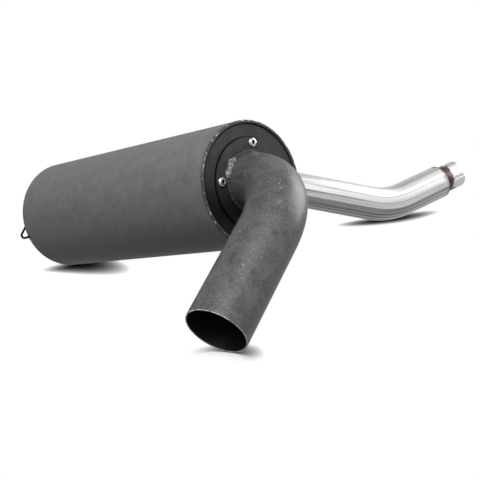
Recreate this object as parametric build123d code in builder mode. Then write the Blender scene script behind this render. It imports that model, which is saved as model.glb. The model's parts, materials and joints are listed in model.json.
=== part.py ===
from build123d import *
from math import cos, radians, sin
import os

# Exhaust muffler for a small off-road vehicle. A steel canister with a rolled outlet rim and a dished
# far end, a side inlet pipe with a slotted slip sleeve, and an outlet elbow whose bolted flange carries
# a spark arrestor that draws out of the canister for cleaning.
#
# All values are millimetres and degrees. The canister has its own frame, in which the drawing is made:
# X runs along the canister axis towards the outlet and is 0 at the outlet rim, Y points to the inlet
# side and Z up. In the part's frame the origin is the mouth of the slip sleeve, +Z is up from the bench
# that the muffler lies on, and the canister axis leans up out of the XZ plane's X direction.

# ---------------------------------------------------------------- canister
CANISTER_OD = 139.7
CANISTER_LENGTH = 404.5
SHEET = 1.5
DISH_DEPTH = 20.0
DISH_FLAT_D = 15.7
RIM_WIDTH = 3.65
RIM_DEPTH = 3.0
RIM_PROUD = 0.4
RIM_ROUND = 1.2

# ---------------------------------------------------------------- outlet end plate
PLATE_RECESS = 1.5
PLATE_THICKNESS = 3.0
PLATE_SKIRT_LENGTH = 18.0
PLATE_SKIRT = 2.0

# ---------------------------------------------------------------- inner parts
CORE_CLEARANCE = 5.15
CORE_WALL = 1.2
CORE_PROJECTION = 10.0
CORE_HOLE = 6.0
CORE_HOLE_PITCH = 15.0
CORE_HOLES_ROUND = 12
COLLAR_LENGTH = 14.0
COLLAR_WALL = 1.5
BULKHEAD_ROOM = 23.1
BULKHEAD_SKIRT_LENGTH = 12.0
PACKING_GAP = 0.4
PACKING_END_GAP = 2.0

# ---------------------------------------------------------------- outlet flange, gasket and screws
FLANGE_THICKNESS = 2.0
GASKET_MARGIN = 0.9
GASKET_THICKNESS = 0.5
SCREW_COUNT = 4
SCREW_EDGE = 0.65
SCREW_WELD_GAP = 0.6
SCREW_D = 6.0
SCREW_LENGTH = 16.0
SCREW_HEAD_D = 10.5
SCREW_HEAD_HEIGHT = 3.3
SCREW_HEAD_ROUND = 2.3
SCREW_SOCKET = 4.0
SCREW_SOCKET_DEPTH = 2.0
SCREW_CLEARANCE = 0.3
NUT_CLEARANCE = 0.1
NUT_WIDTH = 10.0
NUT_HEIGHT = 5.0

# ---------------------------------------------------------------- spark arrestor
ARRESTOR_OD = 50.8
ARRESTOR_WALL = 1.5
ARRESTOR_COLLAR_LENGTH = 14.0
SCREEN_WALL = 1.0
SCREEN_LENGTH = 118.0
SCREEN_HOLE = 5.0
SCREEN_HOLE_PITCH = 11.0
SCREEN_HOLES_ROUND = 12
CAP_SKIRT = 6.0
CAP_THICKNESS = 1.5
ARRESTOR_CLEARANCE = 0.5

# ---------------------------------------------------------------- outlet elbow
ELBOW_OD = 63.5
ELBOW_WALL = 1.6
ELBOW_BEND_RADIUS = 95.25
ELBOW_BEND = 84.4
ELBOW_TAIL = 120.0
ELBOW_AIM = -131.3
ELBOW_TRIM = 10.7
ELBOW_OFFSET_Y = -3.0
ELBOW_OFFSET_Z = 2.3
ELBOW_WELD_WIDTH = 3.5
ELBOW_WELD_HEIGHT = 3.5

# ---------------------------------------------------------------- inlet pipe
INLET_WALL = 1.6
INLET_BEND_RADIUS = 101.6
INLET_ROOM = 30.6
INLET_INSIDE = 14.0
INLET_HOLE_CLEARANCE = 0.2
INLET_RISE = 18.0
INLET_STUB = 129.15
INLET_RUN = 296.5
INLET_RUN_YAW = 25.5
INLET_RUN_PITCH = -11.2
INLET_END_RUN = 108.5
INLET_END_YAW = 14.0
INLET_END_PITCH = 21.0
INLET_WELD_WIDTH = 4.5
INLET_WELD_HEIGHT = 3.5

# ---------------------------------------------------------------- slip sleeve
SLEEVE_OD = 41.3
SLEEVE_WALL = 1.5
SLEEVE_OUTSIDE = 38.0
SLEEVE_INSIDE = 20.0
SLEEVE_SLOTS = 4
SLEEVE_SLOT_WIDTH = 2.4
SLEEVE_SLOT_LENGTH = 22.0
SLEEVE_SLOT_TURN = 3.0
MOUTH_STEP = 3.15
MOUTH_RING_LENGTH = 5.0
SLEEVE_WELD = 2.2
SLEEVE_WELD_CHAMFER = 1.3

# ---------------------------------------------------------------- spring loop on the dished end
LOOP_WIRE = 3.0
LOOP_SPREAD = 14.4
LOOP_REACH = 13.5
LOOP_CORNER = 4.0
LOOP_ANGLE = 201.0
LOOP_KNUCKLE_ANGLE = 11.0
LOOP_LEAN = 15.0
LOOP_SINK = 3.0

# ---------------------------------------------------------------- how it lies on a bench
OUTLET_LIFT = 9.47
CANISTER_ROLL = -10.49

# ---------------------------------------------------------------- sizes that follow
shell_r = CANISTER_OD / 2
bore_r = shell_r - SHEET
rim_inner_r = shell_r - RIM_WIDTH + RIM_PROUD
elbow_r = ELBOW_OD / 2
sleeve_r = SLEEVE_OD / 2
inlet_r = sleeve_r + MOUTH_STEP + INLET_WALL
arrestor_r = ARRESTOR_OD / 2
screen_r = arrestor_r - ARRESTOR_WALL
plate_hole_r = arrestor_r + ARRESTOR_CLEARANCE
core_r = arrestor_r + CORE_CLEARANCE + CORE_WALL
screw_hole_r = SCREW_D / 2 + SCREW_CLEARANCE

# The elbow's foot is where its cut-off bend meets the flange, a little off the canister axis. The flange
# is wide enough for the foot, its weld and the screw heads.
aim = Vector(0, cos(radians(ELBOW_AIM)), sin(radians(ELBOW_AIM)))
foot_sink = ELBOW_BEND_RADIUS - (ELBOW_BEND_RADIUS**2 - ELBOW_TRIM**2) ** 0.5
foot_offset = Vector(0, ELBOW_OFFSET_Y, ELBOW_OFFSET_Z) + aim * foot_sink
screw_circle_r = (
    elbow_r + foot_offset.length + ELBOW_WELD_WIDTH + SCREW_WELD_GAP + SCREW_HEAD_D / 2
)
flange_r = screw_circle_r + SCREW_HEAD_D / 2 + SCREW_EDGE

dish_start = DISH_DEPTH - CANISTER_LENGTH
dish_flat_r = DISH_FLAT_D / 2
dish_knuckle = shell_r - dish_flat_r
plate_face = -PLATE_RECESS
plate_back = plate_face - PLATE_THICKNESS
flange_back = plate_face + GASKET_THICKNESS
flange_face = flange_back + FLANGE_THICKNESS
inlet_x = dish_start + INLET_ROOM + inlet_r
bulkhead_face = inlet_x + inlet_r + BULKHEAD_ROOM
screen_end = flange_back - SCREEN_LENGTH


def heading(yaw, pitch):
    """A direction in the canister's frame: yaw turns from +Y towards +X, pitch lifts towards +Z."""
    flat = cos(radians(pitch))
    return Vector(flat * sin(radians(yaw)), flat * cos(radians(yaw)), sin(radians(pitch)))


# The inlet pipe's corners and the sleeve's mouth, in the canister's frame.
stub_dir = heading(0, INLET_RISE)
run_dir = heading(INLET_RUN_YAW, INLET_RUN_PITCH)
end_dir = heading(INLET_END_YAW, INLET_END_PITCH)
inlet_centre = Vector(inlet_x, 0, 0)
inlet_start = inlet_centre + stub_dir * (shell_r - INLET_INSIDE)
corner_1 = inlet_centre + stub_dir * (shell_r + INLET_STUB)
corner_2 = corner_1 + run_dir * INLET_RUN
pipe_end = corner_2 + end_dir * INLET_END_RUN
mouth = pipe_end + end_dir * SLEEVE_OUTSIDE

# The canister's frame, leaned and rolled as the muffler lies, and moved to bring the mouth to the origin.
lift, roll = radians(OUTLET_LIFT), radians(CANISTER_ROLL)
lying = Plane(
    origin=(0, 0, 0),
    x_dir=(cos(lift), 0, sin(lift)),
    z_dir=(-sin(lift) * cos(roll), -sin(roll), cos(lift) * cos(roll)),
)
canister = Plane(origin=-lying.from_local_coords(mouth), x_dir=lying.x_dir, z_dir=lying.z_dir)
canister_axis = Axis(canister.origin, canister.x_dir)

# Profiles of turned parts are drawn as x along the axis and y as the radius.
profile = Plane(origin=canister.origin, x_dir=canister.x_dir, z_dir=-canister.y_dir)


def across(x):
    """The plane square to the canister axis at x, with its own x along Y and its own y along Z."""
    return Plane(
        origin=canister.from_local_coords((x, 0, 0)), x_dir=canister.y_dir, z_dir=canister.x_dir
    )


def along(point, direction):
    """The plane at a point of the canister's frame, facing along a direction of that frame."""
    tip = canister.from_local_coords(point + direction)
    start = canister.from_local_coords(point)
    return Plane(origin=start, z_dir=tip - start)


def band(x0, x1, r0, r1):
    """A rectangle of the profile plane, from x0 to x1 along the axis and between two radii."""
    with Locations(((x0 + x1) / 2, (r0 + r1) / 2)):
        Rectangle(abs(x1 - x0), r1 - r0)


def staggered_rows(x0, x1, pitch, count):
    """Planes on the canister axis, facing out through a tube's wall: half of count in each row, since
    a drill crosses the tube and makes two holes, and every second row turned by half a step."""
    rows = int((x1 - x0) // pitch)
    first = (x0 + x1 - rows * pitch) / 2
    planes = []
    for row in range(rows + 1):
        centre = Vector(first + row * pitch, 0, 0)
        for turn in range(count // 2):
            angle = radians((turn + (row % 2) / 2) * 360 / count)
            planes.append(along(centre, Vector(0, cos(angle), sin(angle))))
    return planes


def dish_arc(depth_in):
    """A quarter ellipse on the dish's knuckle, from the shell to the flat, depth_in below the outside."""
    return EllipticalCenterArc(
        (dish_start, dish_flat_r), DISH_DEPTH - depth_in, dish_knuckle - depth_in,
        start_angle=90, arc_size=90,
    )


def save(piece, name):
    piece.part.label = name
    export_step(piece.part, f"parts/{name}.step")


os.makedirs("parts", exist_ok=True)

# ================================================================ canister body

# Rolled sheet tube with a hole in its side for the inlet pipe.
with BuildPart() as shell:
    with BuildSketch(profile):
        band(dish_start, -RIM_DEPTH, bore_r, shell_r)
    revolve(axis=canister_axis)
    with BuildSketch(along(inlet_centre, stub_dir)):
        Circle(inlet_r + INLET_HOLE_CLEARANCE)
    extrude(amount=CANISTER_OD, mode=Mode.SUBTRACT)
save(shell, "shell")

# Pressed dish: a flat middle and a quarter-elliptical knuckle that meets the shell.
with BuildPart() as dish_end:
    with BuildSketch(profile):
        with BuildLine():
            outer = dish_arc(0)
            inner = dish_arc(SHEET)
            Line(outer @ 0, inner @ 0)
            Polyline(
                outer @ 1,
                (-CANISTER_LENGTH, 0),
                (-CANISTER_LENGTH + SHEET, 0),
                inner @ 1,
            )
        make_face()
    revolve(axis=canister_axis)
save(dish_end, "dish_end")

# Rolled lock rim that closes the shell round the end plate.
with BuildPart() as rim_ring:
    with BuildSketch(profile):
        band(-RIM_DEPTH, 0, rim_inner_r, shell_r + RIM_PROUD)
    revolve(axis=canister_axis)
    fillet(rim_ring.edges().filter_by(GeomType.CIRCLE).group_by(canister_axis)[-1], RIM_ROUND)
save(rim_ring, "rim_ring")

# End plate: a disc behind the rim with a skirt that lines the shell, drilled for the flange screws.
with BuildPart() as end_plate:
    with BuildSketch(profile):
        with BuildLine():
            Polyline(
                (plate_face, plate_hole_r),
                (plate_face, rim_inner_r),
                (-RIM_DEPTH, rim_inner_r),
                (-RIM_DEPTH, bore_r),
                (-PLATE_SKIRT_LENGTH, bore_r),
                (-PLATE_SKIRT_LENGTH, bore_r - PLATE_SKIRT),
                (plate_back, bore_r - PLATE_SKIRT),
                (plate_back, plate_hole_r),
                close=True,
            )
        make_face()
    revolve(axis=canister_axis)
    with BuildSketch(across(plate_back)):
        with PolarLocations(screw_circle_r, SCREW_COUNT):
            Circle(screw_hole_r)
    extrude(amount=PLATE_THICKNESS, mode=Mode.SUBTRACT)
save(end_plate, "end_plate")

# Hexagonal weld nuts behind the end plate, one for each flange screw.
with BuildPart() as weld_nuts:
    with BuildSketch(across(plate_back)):
        with PolarLocations(screw_circle_r, SCREW_COUNT):
            RegularPolygon(NUT_WIDTH / 2, 6, major_radius=False)
            Circle(SCREW_D / 2 + NUT_CLEARANCE, mode=Mode.SUBTRACT)
    extrude(amount=-NUT_HEIGHT)
save(weld_nuts, "weld_nuts")

# Collar on the end plate's back that holds the outlet end of the core tube.
with BuildPart() as core_collar:
    with BuildSketch(profile):
        band(plate_back - COLLAR_LENGTH, plate_back, core_r, core_r + COLLAR_WALL)
    revolve(axis=canister_axis)
save(core_collar, "core_collar")

# Bulkhead between the inlet chamber and the packed chamber, with its skirt towards the inlet.
with BuildPart() as bulkhead:
    with BuildSketch(profile):
        band(bulkhead_face - SHEET, bulkhead_face, core_r, bore_r)
        band(bulkhead_face - BULKHEAD_SKIRT_LENGTH, bulkhead_face, bore_r - SHEET, bore_r)
    revolve(axis=canister_axis)
save(bulkhead, "bulkhead")

# Perforated core tube from the inlet chamber to the end plate.
with BuildPart() as core_tube:
    with BuildSketch(profile):
        band(bulkhead_face - CORE_PROJECTION, plate_back, core_r - CORE_WALL, core_r)
    revolve(axis=canister_axis)
    with Locations(
        *staggered_rows(
            bulkhead_face + CORE_HOLE_PITCH, plate_back - COLLAR_LENGTH - CORE_HOLE_PITCH,
            CORE_HOLE_PITCH, CORE_HOLES_ROUND,
        )
    ):
        Cylinder(CORE_HOLE / 2, 3 * core_r, mode=Mode.SUBTRACT)
save(core_tube, "core_tube")

# Glass-fibre packing between the core tube and the shell.
with BuildPart() as packing:
    with BuildSketch(profile):
        band(
            bulkhead_face + PACKING_END_GAP, -PLATE_SKIRT_LENGTH - PACKING_END_GAP,
            core_r + COLLAR_WALL + PACKING_GAP, bore_r - PACKING_GAP,
        )
    revolve(axis=canister_axis)
save(packing, "packing")

# ================================================================ inlet

# Bent inlet pipe, from just inside the shell to the slip sleeve.
with BuildPart() as inlet_pipe:
    with BuildLine() as inlet_route:
        FilletPolyline(
            *(canister.from_local_coords(p) for p in (inlet_start, corner_1, corner_2, pipe_end)),
            radius=INLET_BEND_RADIUS,
        )
    with BuildSketch(along(inlet_start, stub_dir)):
        Circle(inlet_r)
        Circle(inlet_r - INLET_WALL, mode=Mode.SUBTRACT)
    sweep(path=inlet_route.line)
save(inlet_pipe, "inlet_pipe")

# Weld bead that follows the saddle where the inlet pipe meets the shell.
with BuildPart() as inlet_weld:
    with BuildSketch(along(inlet_start, stub_dir)):
        Circle(inlet_r + INLET_WELD_WIDTH)
        Circle(inlet_r, mode=Mode.SUBTRACT)
    extrude(amount=CANISTER_OD / 2)
    with BuildSketch(across(-CANISTER_LENGTH)):
        Circle(shell_r + INLET_WELD_HEIGHT)
    extrude(amount=CANISTER_LENGTH, mode=Mode.INTERSECT)
    with BuildSketch(across(-CANISTER_LENGTH)):
        Circle(shell_r)
    extrude(amount=CANISTER_LENGTH, mode=Mode.SUBTRACT)
save(inlet_weld, "inlet_weld")

# Ring that fills the step between the pipe's bore and the slip sleeve.
with BuildPart() as mouth_ring:
    with BuildSketch(along(pipe_end, end_dir)):
        Circle(inlet_r - INLET_WALL)
        Circle(sleeve_r, mode=Mode.SUBTRACT)
    extrude(amount=-MOUTH_RING_LENGTH)
save(mouth_ring, "mouth_ring")

# Slip sleeve for the header pipe, slit from its open end so that a clamp can close it. The slots are
# counted from the level direction square to the sleeve.
mouth_out = along(mouth, end_dir).z_dir
mouth_plane = Plane(origin=(0, 0, 0), x_dir=mouth_out.cross(Vector(0, 0, 1)), z_dir=mouth_out)
with BuildPart() as slip_sleeve:
    with BuildSketch(mouth_plane):
        Circle(sleeve_r)
        Circle(sleeve_r - SLEEVE_WALL, mode=Mode.SUBTRACT)
    extrude(amount=-(SLEEVE_OUTSIDE + SLEEVE_INSIDE))
    with BuildSketch(mouth_plane):
        with PolarLocations(sleeve_r - SLEEVE_WALL / 2, SLEEVE_SLOTS, start_angle=SLEEVE_SLOT_TURN):
            Rectangle(3 * SLEEVE_WALL, SLEEVE_SLOT_WIDTH)
    extrude(amount=-SLEEVE_SLOT_LENGTH, mode=Mode.SUBTRACT)
save(slip_sleeve, "slip_sleeve")

# Weld bead round the sleeve on the pipe's end.
with BuildPart() as sleeve_weld:
    with BuildSketch(along(pipe_end, end_dir)):
        Circle(sleeve_r + SLEEVE_WELD)
        Circle(sleeve_r, mode=Mode.SUBTRACT)
    extrude(amount=SLEEVE_WELD)
    outer_edges = sleeve_weld.edges().filter_by(GeomType.CIRCLE).sort_by(SortBy.RADIUS)[-2:]
    chamfer(outer_edges.sort_by(Axis((0, 0, 0), mouth_out))[-1], SLEEVE_WELD_CHAMFER)
save(sleeve_weld, "sleeve_weld")

# ================================================================ spring loop

# The loop stands on the knuckle, square to its surface, and its feet are cut to that surface.
knuckle_r = dish_flat_r + dish_knuckle * cos(radians(LOOP_KNUCKLE_ANGLE))
knuckle_x = dish_start - DISH_DEPTH * sin(radians(LOOP_KNUCKLE_ANGLE))
slope_x = -sin(radians(LOOP_KNUCKLE_ANGLE)) / DISH_DEPTH
slope_r = cos(radians(LOOP_KNUCKLE_ANGLE)) / dish_knuckle
radial = Vector(0, cos(radians(LOOP_ANGLE)), sin(radians(LOOP_ANGLE)))
round_way = Vector(0, sin(radians(LOOP_ANGLE)), -cos(radians(LOOP_ANGLE)))
outward = (Vector(slope_x, 0, 0) + radial * slope_r).normalized()
lean_way = round_way * cos(radians(LOOP_LEAN)) + outward.cross(round_way) * sin(radians(LOOP_LEAN))
loop_foot = Vector(knuckle_x, 0, 0) + radial * knuckle_r
loop_plane = Plane(
    origin=canister.from_local_coords(loop_foot),
    x_dir=canister.from_local_coords(loop_foot + lean_way) - canister.from_local_coords(loop_foot),
    z_dir=canister.from_local_coords(loop_foot + lean_way.cross(outward))
    - canister.from_local_coords(loop_foot),
)

# Bent wire loop: one leg straight out, a round corner, and a slanting leg back to the surface.
with BuildPart() as spring_loop:
    with BuildLine() as loop_route:
        FilletPolyline(
            loop_plane.from_local_coords((-LOOP_SPREAD / 2, -LOOP_SINK, 0)),
            loop_plane.from_local_coords((-LOOP_SPREAD / 2, LOOP_REACH, 0)),
            loop_plane.from_local_coords((LOOP_SPREAD / 2, -LOOP_SINK, 0)),
            radius=LOOP_CORNER,
        )
    with BuildSketch(Plane(origin=loop_route.line @ 0, z_dir=loop_route.line % 0)):
        Circle(LOOP_WIRE / 2)
    sweep(path=loop_route.line)
    with BuildSketch(profile):
        with BuildLine():
            surface = dish_arc(0)
            Polyline(
                surface @ 1, (-CANISTER_LENGTH, 0), (inlet_x, 0), (inlet_x, shell_r), surface @ 0
            )
        make_face()
    revolve(axis=canister_axis, mode=Mode.SUBTRACT)
save(spring_loop, "spring_loop")

# ================================================================ outlet body

# Gasket between the end plate and the flange.
with BuildPart() as gasket:
    with BuildSketch(across(plate_face)):
        Circle(flange_r - GASKET_MARGIN)
        Circle(plate_hole_r, mode=Mode.SUBTRACT)
        with PolarLocations(screw_circle_r, SCREW_COUNT):
            Circle(screw_hole_r, mode=Mode.SUBTRACT)
    extrude(amount=GASKET_THICKNESS)
save(gasket, "gasket")

# Round flange that the elbow is welded to.
with BuildPart() as outlet_flange:
    with BuildSketch(across(flange_back)):
        Circle(flange_r)
        Circle(arrestor_r, mode=Mode.SUBTRACT)
        with PolarLocations(screw_circle_r, SCREW_COUNT):
            Circle(screw_hole_r, mode=Mode.SUBTRACT)
    extrude(amount=FLANGE_THICKNESS)
save(outlet_flange, "outlet_flange")

# Elbow: a bend whose first degrees are cut off square with the flange, then a straight tail. It sits
# a little off the canister axis.
elbow_start = (flange_face - ELBOW_TRIM, ELBOW_OFFSET_Y, ELBOW_OFFSET_Z)
elbow_plane = Plane(
    origin=canister.from_local_coords(elbow_start),
    x_dir=canister.x_dir,
    z_dir=canister.x_dir.cross(canister.from_local_coords(aim) - canister.origin),
)
with BuildPart() as outlet_elbow:
    with BuildLine(elbow_plane) as elbow_route:
        bend = JernArc(start=(0, 0), tangent=(1, 0), radius=ELBOW_BEND_RADIUS, arc_size=ELBOW_BEND)
        Line(bend @ 1, bend @ 1 + (bend % 1) * ELBOW_TAIL)
    with BuildSketch(Plane(origin=elbow_plane.origin, z_dir=canister.x_dir)):
        Circle(elbow_r)
        Circle(elbow_r - ELBOW_WALL, mode=Mode.SUBTRACT)
    sweep(path=elbow_route.line)
    split(bisect_by=across(flange_face), keep=Keep.TOP)
save(outlet_elbow, "outlet_elbow")

# Fillet weld round the elbow's foot, turned about the foot's own centre.
foot_centre = canister.from_local_coords(foot_offset)
with BuildPart() as elbow_weld:
    with BuildSketch(Plane(origin=foot_centre, x_dir=profile.x_dir, z_dir=profile.z_dir)):
        with BuildLine():
            foot = (flange_face, elbow_r + ELBOW_WELD_WIDTH)
            crest = (flange_face + ELBOW_WELD_HEIGHT, elbow_r)
            ThreePointArc(
                foot,
                (flange_face + ELBOW_WELD_HEIGHT * 0.6, elbow_r + ELBOW_WELD_WIDTH * 0.6),
                crest,
            )
            Polyline(
                crest,
                (flange_face + ELBOW_WELD_HEIGHT, elbow_r - ELBOW_WALL * 0.3),
                (flange_face, elbow_r - ELBOW_WALL * 0.3),
                foot,
            )
        make_face()
    revolve(axis=Axis(foot_centre, canister.x_dir))
    add(outlet_elbow.part, mode=Mode.SUBTRACT)
save(elbow_weld, "elbow_weld")

# Collar that carries the arrestor screen through the flange.
with BuildPart() as arrestor_collar:
    with BuildSketch(profile):
        band(flange_face - ARRESTOR_COLLAR_LENGTH, flange_face, screen_r, arrestor_r)
    revolve(axis=canister_axis)
save(arrestor_collar, "arrestor_collar")

# Perforated arrestor screen.
with BuildPart() as arrestor_screen:
    with BuildSketch(profile):
        band(screen_end, flange_back, screen_r - SCREEN_WALL, screen_r)
    revolve(axis=canister_axis)
    with Locations(
        *staggered_rows(
            screen_end + CAP_SKIRT + SCREEN_HOLE, flange_face - ARRESTOR_COLLAR_LENGTH - SCREEN_HOLE,
            SCREEN_HOLE_PITCH, SCREEN_HOLES_ROUND,
        )
    ):
        Cylinder(SCREEN_HOLE / 2, 3 * arrestor_r, mode=Mode.SUBTRACT)
save(arrestor_screen, "arrestor_screen")

# Closed cap over the screen's inner end.
with BuildPart() as arrestor_cap:
    with BuildSketch(profile):
        band(screen_end - CAP_THICKNESS, screen_end, 0, arrestor_r)
        band(screen_end, screen_end + CAP_SKIRT, screen_r, arrestor_r)
    revolve(axis=canister_axis)
save(arrestor_cap, "arrestor_cap")

# ================================================================ flange screws

# Button-head socket screws, all alike, through the flange and gasket into the weld nuts.
with BuildPart() as flange_screws:
    with BuildSketch(across(flange_face)):
        with PolarLocations(screw_circle_r, SCREW_COUNT):
            Circle(SCREW_HEAD_D / 2)
    extrude(amount=SCREW_HEAD_HEIGHT)
    fillet(
        flange_screws.edges().filter_by(GeomType.CIRCLE).group_by(canister_axis)[-1],
        SCREW_HEAD_ROUND,
    )
    with BuildSketch(across(flange_face + SCREW_HEAD_HEIGHT)):
        with PolarLocations(screw_circle_r, SCREW_COUNT):
            RegularPolygon(SCREW_SOCKET / 2, 6, major_radius=False)
    extrude(amount=-SCREW_SOCKET_DEPTH, mode=Mode.SUBTRACT)
    with BuildSketch(across(flange_face)):
        with PolarLocations(screw_circle_r, SCREW_COUNT):
            Circle(SCREW_D / 2)
    extrude(amount=-SCREW_LENGTH)
save(flange_screws, "flange_screws")
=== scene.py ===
import json
from math import acos, atan2, cos, pi, radians, sin

import bmesh
import bpy
import numpy as np
from mathutils import Matrix, Vector


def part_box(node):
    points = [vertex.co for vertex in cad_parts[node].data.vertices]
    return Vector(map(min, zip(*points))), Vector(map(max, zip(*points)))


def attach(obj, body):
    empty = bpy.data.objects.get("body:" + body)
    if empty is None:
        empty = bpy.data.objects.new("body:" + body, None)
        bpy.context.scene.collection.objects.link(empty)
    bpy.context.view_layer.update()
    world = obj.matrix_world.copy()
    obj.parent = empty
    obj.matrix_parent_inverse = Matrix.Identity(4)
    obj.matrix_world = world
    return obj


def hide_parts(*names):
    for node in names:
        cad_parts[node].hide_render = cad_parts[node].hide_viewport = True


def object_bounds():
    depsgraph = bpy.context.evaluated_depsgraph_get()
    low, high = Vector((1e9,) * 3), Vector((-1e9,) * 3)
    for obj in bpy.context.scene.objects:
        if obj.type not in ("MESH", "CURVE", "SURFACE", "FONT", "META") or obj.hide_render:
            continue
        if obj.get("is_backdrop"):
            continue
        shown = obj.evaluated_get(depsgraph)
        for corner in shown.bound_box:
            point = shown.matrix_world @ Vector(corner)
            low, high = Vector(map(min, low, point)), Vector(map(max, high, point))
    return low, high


# Exhaust muffler: a charcoal-coated canister with a bolted outlet elbow and a bare steel inlet pipe.
# Metres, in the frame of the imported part. The canister has a frame of its own: X along its axis towards
# the outlet and 0 at the rim, Y towards the inlet side, Z up.

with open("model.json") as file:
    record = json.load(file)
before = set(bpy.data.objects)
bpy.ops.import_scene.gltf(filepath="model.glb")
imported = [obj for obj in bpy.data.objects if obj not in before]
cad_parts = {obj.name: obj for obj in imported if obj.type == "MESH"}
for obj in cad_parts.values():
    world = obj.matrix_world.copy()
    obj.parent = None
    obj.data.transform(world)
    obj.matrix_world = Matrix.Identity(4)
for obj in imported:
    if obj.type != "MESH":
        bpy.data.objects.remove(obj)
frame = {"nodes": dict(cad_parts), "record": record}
cad_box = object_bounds()
record = frame["record"]
joints = {j["name"]: j for j in record["behaviour"]["joints"]}
mounts = {m["name"]: m for m in record["mounts"]}

# ---------------------------------------------------------------- sizes
CANISTER_R = 0.06985
CANISTER_LENGTH = 0.4045
CANISTER_ROLL = radians(-10.49)
SHEET = 0.0015
DISH_DEPTH = 0.020
DISH_FLAT_R = 0.00785
RIM_DEPTH = 0.003
RIM_INNER_R = 0.0666
RIM_OUTER_R = 0.07025
RIM_DENT = 0.00022
FLANGE_FACE = 0.001
FLANGE_BACK = -0.001
FLANGE_R = 0.05087
# Painted shade on the end face: the width of its near-black corner lines, and where, measured down from
# the rim's middle, its darkening towards the bottom starts and where it is full.
CORNER_SHADE_WIDTH = 0.0022
SHADE_BELOW_START = -0.02
SHADE_BELOW_FULL = 0.035

ELBOW_R = 0.03175
ELBOW_WALL = 0.0016
ELBOW_BEND_R = 0.09525
ELBOW_TRIM = 0.0107
FOOT_WELD_WIDTH = 0.0035
FOOT_WELD_HEIGHT = 0.0035
# The side of the foot weld that is built up thicker and painted pale, a painted highlight where it is
# lit: its middle, half width and fade.
PALE_WELD_MIDDLE = radians(154)
PALE_WELD_HALF = radians(23)
PALE_WELD_FADE = radians(7)

SCREW_CIRCLE_R = 0.044967
SCREW_COUNT = 4
SCREW_R = 0.003
SCREW_LENGTH = 0.016
SCREW_PITCH = 0.001
THREAD_DEPTH = 0.00048
SCREW_TIP = 0.0012
HEAD_R = 0.00525
HEAD_HEIGHT = 0.0033
HEAD_TOP_R = 0.0029
SOCKET_HALF = 0.002
SOCKET_DEPTH = 0.002
SOCKET_EDGE = 0.00012
SOCKET_POINT = 0.0006

INLET_R = 0.0254
INLET_WALL = 0.0016
INLET_BEND_R = 0.1016
INLET_X = -0.3285
INLET_RISE = radians(18)
INLET_STUB = 0.12915
INLET_INSIDE = 0.014
INLET_END_RUN = 0.1085
INLET_HOLE_R = 0.0256
HOLE_TILE_HALF = 0.045
SADDLE_WELD_WIDTH = 0.0045
SADDLE_WELD_HEIGHT = 0.0035

SLEEVE_R = 0.02065
SLEEVE_WALL = 0.0015
SLEEVE_OUTSIDE = 0.038
SLEEVE_INSIDE = 0.020
SLOT_COUNT = 4
SLOT_WIDTH = 0.0024
SLOT_LENGTH = 0.022
SLEEVE_WELD = 0.0022
SLOT_TURN = radians(3)
SLEEVE_LIP = 0.00035

SCREEN_R = 0.0239
SCREEN_WALL = 0.001
SCREEN_LENGTH = 0.118
SCREEN_HOLE_R = 0.0025
SCREEN_PITCH = 0.011
SCREEN_HOLES_ROUND = 12
SCREEN_PLAIN_INSIDE = 0.011
SCREEN_PLAIN_OUTSIDE = 0.019

WIRE_R = 0.0015
LOOP_SPREAD = 0.0144
LOOP_REACH = 0.0135
LOOP_CORNER = 0.004
LOOP_ANGLE = radians(201)
LOOP_KNUCKLE_ANGLE = radians(11)
LOOP_LEAN = radians(15)
LOOP_SINK = 0.0006
LOOP_CLOSE = 0.93
TACK_R = 0.0031
TACK_RISE = 0.0019
TACK_SINK = 0.0008

SINK = 0.0003
ROUND = 96
PLAIN_STEP = 0.02
MERGE_DISTANCE = 2e-6

FLOOR_HALF = 30.0
SHADOW_REACH = 0.018
SHADOW_DEPTH = 2.0

# ---------------------------------------------------------------- places, from the frame
axis_x = np.array(joints["outlet_draw"]["axis"])
lift = atan2(axis_x[2], axis_x[0])
axis_z = np.array(
    [-sin(lift) * cos(CANISTER_ROLL), -sin(CANISTER_ROLL), cos(lift) * cos(CANISTER_ROLL)]
)
axis_y = np.cross(axis_z, axis_x)
canister_turn = np.stack([axis_x, axis_y, axis_z])
flange_low, flange_high = (np.array(corner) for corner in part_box("outlet_flange"))
rim_centre = (flange_low + flange_high) / 2 - axis_x * (FLANGE_FACE + FLANGE_BACK) / 2

mouth = np.array(mounts["inlet"]["pos_m"], float)
sleeve_axis = np.array(mounts["inlet"]["axis"])
tail_tip = np.array(mounts["tail"]["pos_m"])
tail_axis = np.array(mounts["tail"]["axis"])
tail_length = mounts["tail"]["dims"]["length_mm"] / 1000
dish_start = DISH_DEPTH - CANISTER_LENGTH
dish_knuckle = CANISTER_R - DISH_FLAT_R


def place(points):
    """Points of the canister's frame, in the part's frame."""
    return rim_centre + np.asarray(points) @ canister_turn


def direction(x, y, z):
    """A direction of the canister's frame, in the part's frame."""
    return np.array([x, y, z]) @ canister_turn


def unit(vector):
    return vector / np.linalg.norm(vector)


# ---------------------------------------------------------------- surfaces
def angles(count):
    """Even steps round a full turn, as one row."""
    return np.arange(count)[None, :] * 2 * pi / count


def wobble(turn, waves, seed):
    """A repeatable uneven wave round a circle, about 1 high: a sum of sines of the given wave counts."""
    phases = np.random.default_rng(seed).uniform(0, 2 * pi, len(waves))
    return sum(np.sin(n * turn + phase) for n, phase in zip(waves, phases)) / len(waves) ** 0.5


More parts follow.
